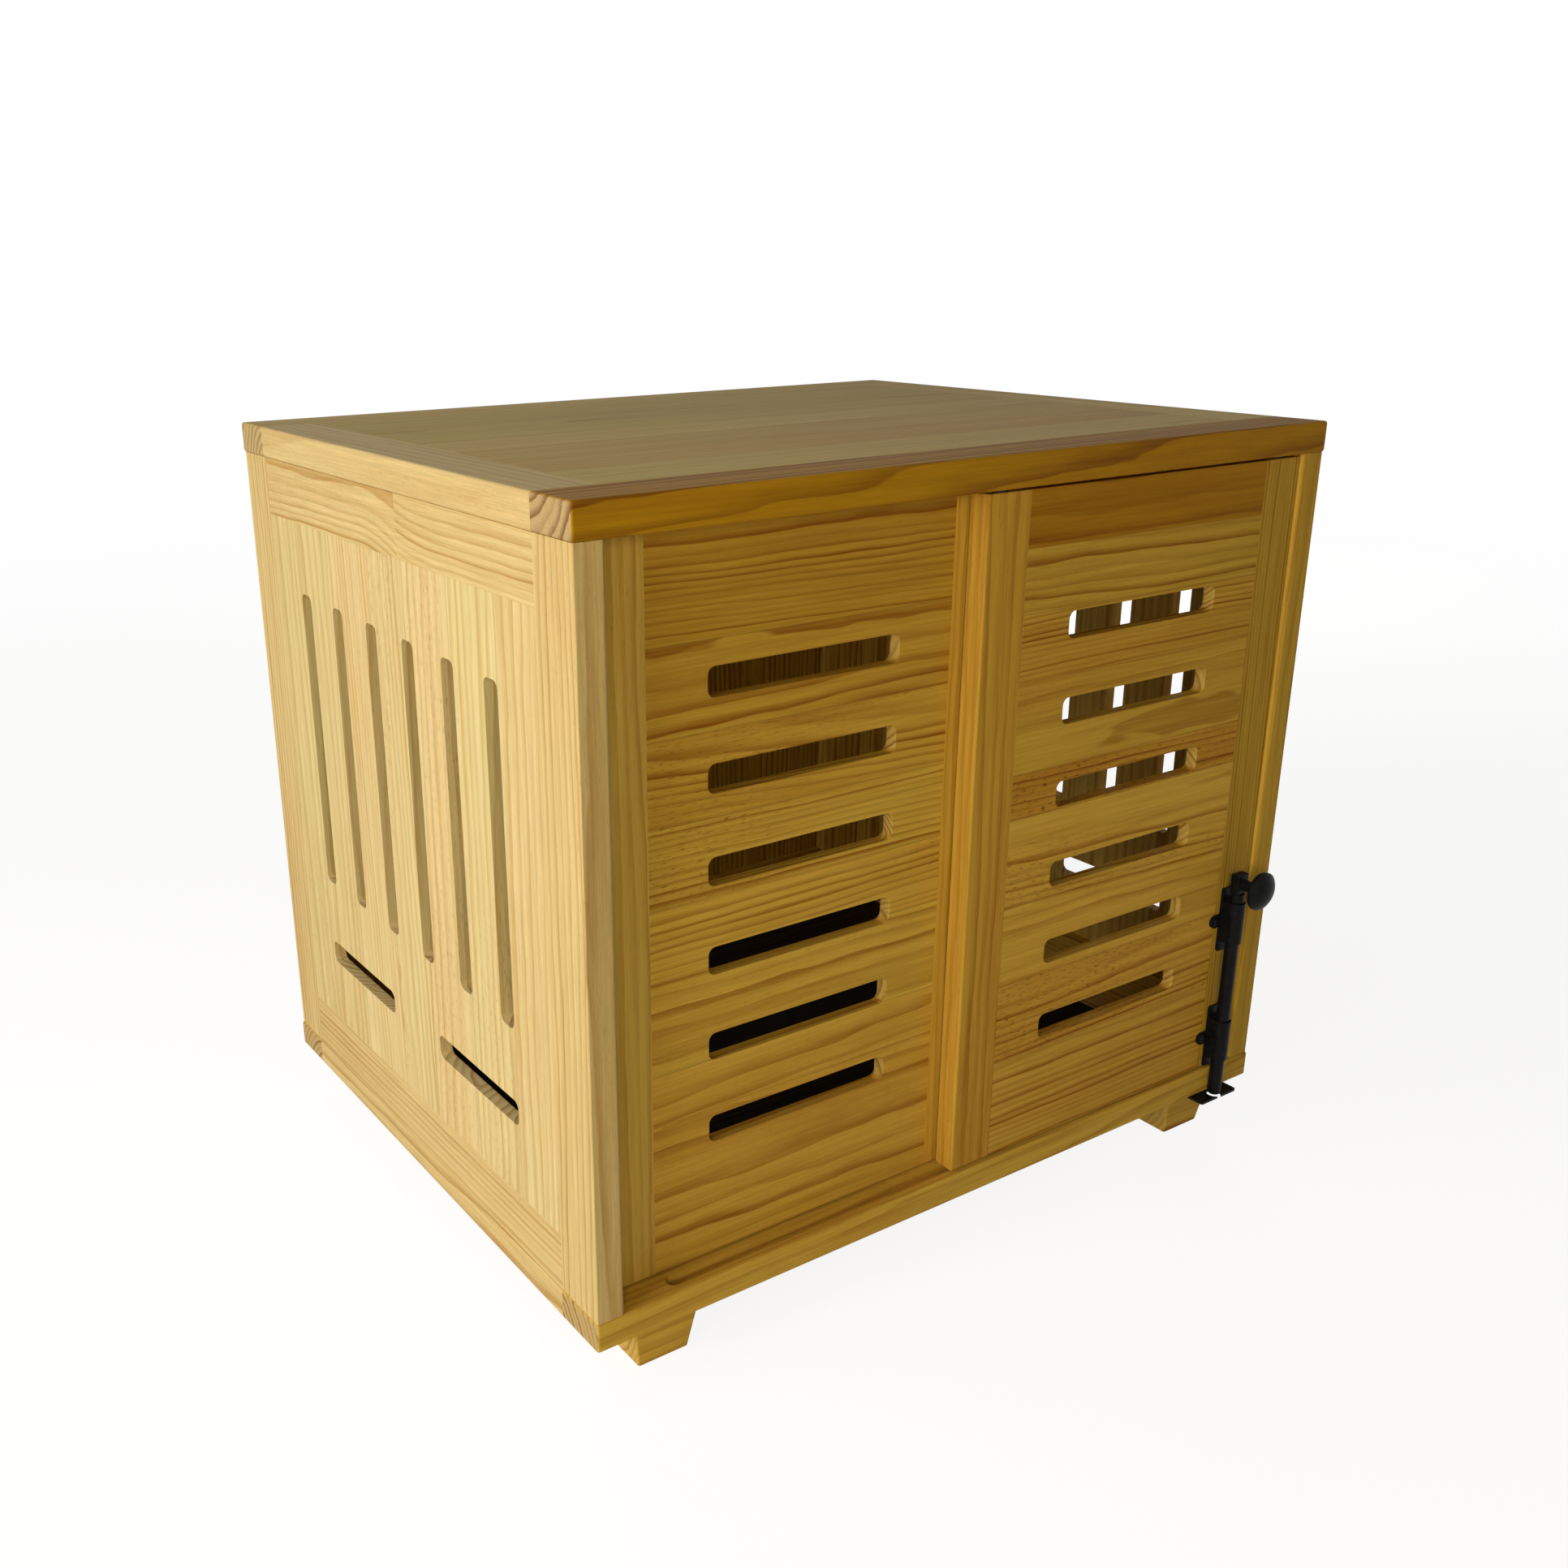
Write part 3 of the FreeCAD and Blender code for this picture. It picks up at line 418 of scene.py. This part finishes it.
def planed(node, material, ease=planed_ease, slot_ease=None):
    """A copy of a plain sawn piece with its arrises eased, which stands for that piece.

    Every edge sharper than 40 degrees is rounded by ease. Where slot_ease is given, the
    edges well inside the piece's outline, which are the rims of its slots, get that instead.
    """
    broad = 0.05                  # metres; a panel is broader than this along its face
    rim_margin = 0.012            # a slot lies at least this far inside its outline
    source = frame["nodes"][node]
    low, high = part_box(node)
    across = [i for i in range(3) if high[i] - low[i] > broad]
    copy = bpy.data.objects.new("eased_" + node, source.data.copy())
    bpy.context.collection.objects.link(copy)
    shape = bmesh.new()
    shape.from_mesh(copy.data)
    bmesh.ops.remove_doubles(shape, verts=shape.verts, dist=0.000002)
    bmesh.ops.dissolve_limit(shape, angle_limit=math.radians(0.5), verts=shape.verts,
                             edges=shape.edges)
    weights = shape.edges.layers.float.new("bevel_weight_edge")
    widest = slot_ease or ease
    for edge in shape.edges:
        if len(edge.link_faces) == 2 and edge.calc_face_angle() > math.radians(40):
            middle = (edge.verts[0].co + edge.verts[1].co) / 2
            rim = slot_ease and all(low[i] + rim_margin < middle[i] < high[i] - rim_margin
                                    for i in across)
            edge[weights] = 1.0 if rim else ease / widest
    shape.to_mesh(copy.data)
    shape.free()
    copy.data.materials.clear()
    copy.data.materials.append(material)
    copy.data.shade_smooth()
    copy.data.set_sharp_from_angle(angle=math.radians(38))
    rounding = copy.modifiers.new("eased_arris", "BEVEL")
    rounding.width = widest
    rounding.segments = 2
    rounding.limit_method = "WEIGHT"
    rounding.use_clamp_overlap = True
    flat = copy.modifiers.new("flat_faces_shade_flat", "WEIGHTED_NORMAL")
    flat.mode = "FACE_AREA"
    flat.weight = 95
    flat.keep_sharp = True
    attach(copy, source["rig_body"])
    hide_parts(node)
    return copy


def middle_of(node):
    """The middle of a CAD piece, in metres."""
    low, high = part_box(node)
    return (low + high) / 2


def single(node, tones, along, through, heart, seed, **more):
    """A piece sawn from one board, planed and lacquered."""
    values = {key: more.pop(key) for key in ("ring", "lean", "warm", "dark", "dashes")
              if key in more}
    ease = more.pop("ease", planed_ease)
    return planed(node, pine(node, tones, along, through, middle_of(node),
                             [board(0.0, heart, **values)], shift=seed, **more), ease)


single("top_front_rail", amber_pine, "x", "z", (34.0, 22.0), 1.0, ring=8.0, lean=-30.0,
       wave=2.5, gloss=0.12, raw_ends=0.9)
single("top_back_rail", top_pine, "x", "z", (-40.0, -30.0), 2.0, ring=6.0, lean=-8.0,
       gloss=0.12, raw_ends=0.8)
single("top_left_stile", rail_pine, "y", "z", (52.0, 20.0), 3.0, ring=8.0, lean=20.0, wave=5.0,
       contrast=0.5, gloss=0.12)
single("top_right_stile", top_pine, "y", "z", (-52.0, 22.0), 4.0, ring=6.0, lean=14.0,
       contrast=0.7, gloss=0.12)
top_low, top_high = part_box("top_panel")
planed("top_panel", pine("top_panel", top_pine, "x", "z", middle_of("top_panel"),
                         chance_boards(top_low.y, top_high.y, 7, 5), contrast=0.5, shift=5.0,
                         gloss=0.12))

# ==== Base and floor =======================================================================
# The same flat frame below: the front rail carries the doors' two tracks, and the floor
# panel, nearly black, lies flush with it.

near_black_pine = ((0.052, 0.046, 0.050), (0.028, 0.025, 0.027))

single("base_front_rail", gold_pine, "x", "z", (34.0, -26.0), 11.0, ring=5.0, lean=10.0,
       raw_ends=0.8)
single("base_back_rail", gold_pine, "x", "z", (-34.0, -26.0), 12.0, ring=5.0, lean=-6.0,
       raw_ends=0.8)
for side, heart, seed in (("left", 46.0, 13.46), ("right", -50.0, 12.5)):
    single(f"base_{side}_rail", rail_pine, "y", "z", (heart, 22.0), seed, ring=5.0, lean=12.0,
           contrast=0.8)
floor_low, floor_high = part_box("floor_panel")
planed("floor_panel", pine("floor_panel", near_black_pine, "x", "z", middle_of("floor_panel"),
                           chance_boards(floor_low.y, floor_high.y, 7, 15), shift=15.0))

# ==== Sides ================================================================================
# Each side is a frame of two posts and two rails round a glued-up panel of upright boards,
# with slots routed through it.

# The right side is golder and darker than the left: partly the wood's own tone, partly painted
# shade where the light falls off to the right.
for side, sign, seed, frame_pine, panel_pine, dark in (
        ("left", 1.0, 20, rail_pine, side_pine, 0.0),
        ("right", -1.0, 40, gold_pine, warm_pine, 0.3)):
    for number, (piece, along, heart, ring, lean) in enumerate((
            ("front_post", "z", (58.0, 30.0), 5.0, 6.0),
            ("back_post", "z", (-64.0, 24.0), 5.0, 4.0),
            ("top_rail", "y", (36.0, 34.0), 4.0, 12.0),
            ("bottom_rail", "y", (-44.0, 26.0), 4.5, 14.0))):
        single(f"{side}_side_{piece}", frame_pine, along, "x", (heart[0], sign * heart[1]),
               seed + number, ring=ring, lean=lean, contrast=0.8, dark=dark,
               butt=(-7.7, 20.0) if piece == "top_rail" else None)
    node = f"{side}_side_panel"
    low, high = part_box(node)
    planed(node, pine(node, panel_pine, "z", "x", middle_of(node),
                      chance_boards(low.y, high.y, 7, seed + 6, spread=0.35), contrast=0.7,
                      shift=seed + 6.0), slot_ease=routed_ease)

# ==== Back =================================================================================
# A closed frame and panel between the back posts, with its boards standing upright.

for number, (piece, along, heart) in enumerate((
        ("left_stile", "z", (46.0, 28.0)), ("right_stile", "z", (-52.0, 28.0)),
        ("top_rail", "x", (34.0, 26.0)), ("bottom_rail", "x", (-36.0, 30.0)))):
    single("back_" + piece, gold_pine, along, "y", heart, 60.0 + number, ring=6.0, lean=8.0)
back_low, back_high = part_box("back_panel")
# Its boards are darkened all over (dark 0.5): painted shade for the inside of the table.
planed("back_panel", pine("back_panel", gold_pine, "z", "y", middle_of("back_panel"),
                          chance_boards(back_low.x, back_high.x, 7, 66, dark=0.5), shift=66.0))

# ==== Doors ================================================================================
# Two framed doors that pass each other: upright stiles, and a panel of level boards with
# six slots routed through it.

# Towards the top of each door the boards get darker: partly their own tone, partly painted shade
# under the table top.
door_boards = {
    "rear": [
        board(0.0565, (10, 44), ring=7.5, lean=30, warm=0.45, along=-60),
        board(0.160, (30, 40), ring=8.0, lean=-14, warm=0.4, along=200),
        board(0.194, (-14, 40), ring=5.5, lean=24, warm=-0.1, along=330),
        board(0.256, (38, 30), ring=3.8, lean=-8, warm=0.55, dark=0.1, dashes=1.0, along=120),
        board(0.301, (-40, 30), ring=3.4, lean=10, warm=0.1, dark=0.15, dashes=1.0, along=510),
        board(0.350, (34, 40), ring=4.6, lean=44, warm=0.45, dark=0.3, dashes=0.6, along=80),
        board(0.402, (48, 60), ring=8.0, lean=-12, warm=0.4, dark=0.45, along=640),
        board(0.455, (42, 26), ring=3.4, lean=12, warm=0.4, dark=0.6, along=-420)],
    "front": [
        board(0.0565, (48, 30), ring=4.2, lean=10, warm=0.4, dark=0.1, along=75),
        board(0.129, (30, 34), ring=4.0, lean=-16, warm=0.7, dashes=0.8, dark=0.1, along=290),
        board(0.187, (-12, 36), ring=5.0, lean=30, warm=0.3, along=-310),
        board(0.244, (24, 34), ring=4.4, lean=38, warm=0.35, dashes=0.7, along=15),
        board(0.306, (-36, 24), ring=4.0, lean=22, warm=1.0, dark=0.35, dashes=0.9, along=700),
        board(0.337, (-18, 44), ring=7.0, lean=-24, warm=0.25, dark=0.25, along=410),
        board(0.398, (52, 24), ring=3.2, lean=-6, warm=0.45, dark=0.3, along=-230),
        board(0.442, (40, 38), ring=5.0, lean=22, warm=-0.1, dark=0.35, along=-90),
        board(0.483, (44, 60), ring=10.0, lean=-10, warm=0.9, dark=1.0, along=900)]}
# The stiles get darker from left to right: partly their own tone, partly painted shade where the
# light falls off to the right.
door_stiles = {   # heart, ring width, tone, warmth, darkness, contrast
    ("rear", "left"): ((-52.0, 26.0), 7.0, warm_pine, -0.2, 0.1, 0.7),
    ("rear", "right"): ((58.0, 30.0), 5.0, gold_pine, 0.3, 0.15, 0.6),
    ("front", "left"): ((-46.0, 38.0), 6.5, gold_pine, 0.6, 0.3, 0.9),
    ("front", "right"): ((64.0, 20.0), 3.2, gold_pine, -0.2, 0.45, 0.8)}
for door, seed in (("rear", 80.0), ("front", 90.0)):
    for number, side in enumerate(("left", "right")):
        heart, ring, tones, warm, dark, contrast = door_stiles[door, side]
        single(f"{door}_door_{side}_stile", tones, "z", "y", heart, seed + number, ring=ring,
               lean=6.0, warm=warm, dark=dark, contrast=contrast)
    node = f"{door}_door_panel"
    planed(node, pine(node, gold_pine, "x", "y", middle_of(node), door_boards[door],
                      shift=seed + 2), slot_ease=routed_ease)

# ==== Feet =================================================================================
# Four short feet sawn to a taper, with their grain lying level.

for number, node in enumerate(("front_left_foot", "front_right_foot",
                               "back_left_foot", "back_right_foot")):
    single(node, gold_pine, "x", "z", (34.0, 16.0), 100.0 + number, ring=5.0, lean=10.0,
           ease=foot_ease)

# ==== Barrel bolt ==========================================================================
# Steel finished in satin black: two guides screwed to the door, a round rod, a dog on its
# top end and a turned mushroom knob, with a strike plate under the base.


def black_enamel():
    """Satin black paint on steel, a little uneven."""
    finish = Finish("black_enamel")
    place = finish.node("ShaderNodeTexCoord")[object_place]
    cloud = finish.node("ShaderNodeTexNoise", {}, {"Vector": place, "Scale": 240.0,
                                                   "Detail": 3.0})[0]
    grit = finish.node("ShaderNodeTexNoise", {}, {"Vector": place, "Scale": 1600.0,
                                                  "Detail": 2.0})[0]
    finish.set(Base_Color=finish.mix(cloud.rise(0.3, 0.8), (0.004, 0.004, 0.0045),
                                     (0.009, 0.009, 0.010)))
    finish.set(Roughness=0.42 + (cloud - 0.5) * 0.18, Specular_IOR_Level=0.07)
    bump = finish.node("ShaderNodeBump", {}, {"Strength": 0.25, "Distance": 0.0001,
                                              "Height": grit})
    finish.set(Normal=bump[0])
    return finish.material


enamel = black_enamel()
for node in ("bolt_upper_guide", "bolt_lower_guide", "bolt_guide_screws", "bolt_rod",
             "bolt_dog", "bolt_knob", "strike_plate", "strike_screws"):
    copy = planed(node, enamel, ease=metal_ease)

# ==== Wheels, pegs, dowels and screws ======================================================
# Nearly out of sight in the finished table: nylon wheels on steel axles in moulded housings,
# dark moulded pegs in the upper track, beech dowels and zinc plated screws.


def plain_finish(name, colour, rough, metal=0.0):
    """An even moulded or plated surface with a fine mottle."""
    finish = Finish(name)
    place = finish.node("ShaderNodeTexCoord")[object_place]
    mottle = finish.node("ShaderNodeTexNoise", {}, {"Vector": place, "Scale": 500.0,
                                                    "Detail": 3.0})[0]
    darker = tuple(0.85 * channel for channel in colour)
    finish.set(Base_Color=finish.mix(mottle, darker, colour), Metallic=metal)
    finish.set(Roughness=rough + (mottle - 0.5) * 0.15)
    return finish.material


nylon = plain_finish("nylon", (0.84, 0.84, 0.80), 0.45)
housing = plain_finish("housing_plastic", (0.05, 0.05, 0.055), 0.5)
zinc = plain_finish("zinc", (0.62, 0.62, 0.63), 0.35, 1.0)
beech = plain_finish("beech", (0.60, 0.44, 0.26), 0.6)
hidden_finish = {"frame_dowels": beech, "panel_dowels": beech, "carcass_screws": zinc,
                 "foot_screws": zinc}
for door in ("front_door", "rear_door"):
    hidden_finish[door + "_left_wheel"] = nylon
    hidden_finish[door + "_right_wheel"] = nylon
    hidden_finish[door + "_guide_pins"] = housing
    hidden_finish[door + "_roller_housings"] = housing
    hidden_finish[door + "_wheel_axles"] = zinc
for node, material in hidden_finish.items():
    cad_piece = frame["nodes"][node]
    cad_piece.data.materials.clear()
    cad_piece.data.materials.append(material)
